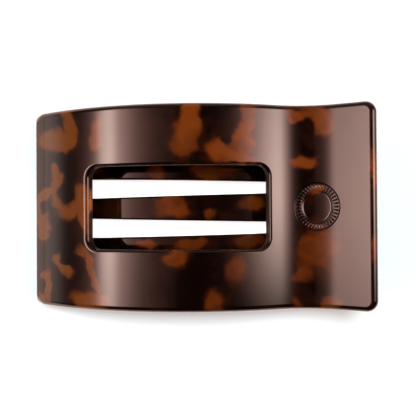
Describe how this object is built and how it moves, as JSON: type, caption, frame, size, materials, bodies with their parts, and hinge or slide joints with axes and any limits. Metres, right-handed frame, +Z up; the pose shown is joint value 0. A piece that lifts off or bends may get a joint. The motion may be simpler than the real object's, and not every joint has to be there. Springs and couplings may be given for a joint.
{
  "type": "flat hair clip",
  "caption": "Flat sprung hair clip with a curved windowed front plate, a slotted back plate and hidden tooth combs, in tortoiseshell.",
  "frame": {"origin": "centre of the bounding box at the plane that the clip's two flat feet rest on", "axes": "+X from the tip towards the levers, +Y across the clip along the hinge pin, +Z up through the front plate"},
  "size_m": [0.0922, 0.0536, 0.0239],
  "materials": {
    "tortoiseshell": "polished cellulose acetate, near-black brown with amber patches",
    "dark_tortoiseshell": "polished cellulose acetate, dark brown",
    "spring_steel": "drawn spring wire",
    "pin_steel": "ground steel pin"
  },
  "bodies": {
    "back_jaw": {"back_plate": "tortoiseshell", "back_knuckle_centre": "tortoiseshell", "back_knuckle_upper": "tortoiseshell", "back_knuckle_lower": "tortoiseshell", "hinge_pin": "pin_steel", "torsion_spring_upper": "spring_steel", "torsion_spring_lower": "spring_steel", "back_comb_upper": "tortoiseshell", "back_comb_lower": "tortoiseshell"},
    "front_jaw": {"front_plate": "tortoiseshell", "thumb_medallion": "dark_tortoiseshell", "front_lug_upper": "tortoiseshell", "front_lug_lower": "tortoiseshell", "pin_cap_upper": "dark_tortoiseshell", "pin_cap_lower": "dark_tortoiseshell", "front_comb_upper": "tortoiseshell", "front_comb_lower": "tortoiseshell"}
  },
  "joints": [
    {"name": "jaw_hinge", "type": "hinge", "parent": "back_jaw", "child": "front_jaw", "pos_m": [0.0264, 0, 0.00958], "axis": [0, 1, 0], "range_deg": [0, 40], "stiffness_Nm_per_rad": 0.25, "springref_deg": -34.38, "deforming": ["torsion_spring_upper", "torsion_spring_lower"]}
  ]
}
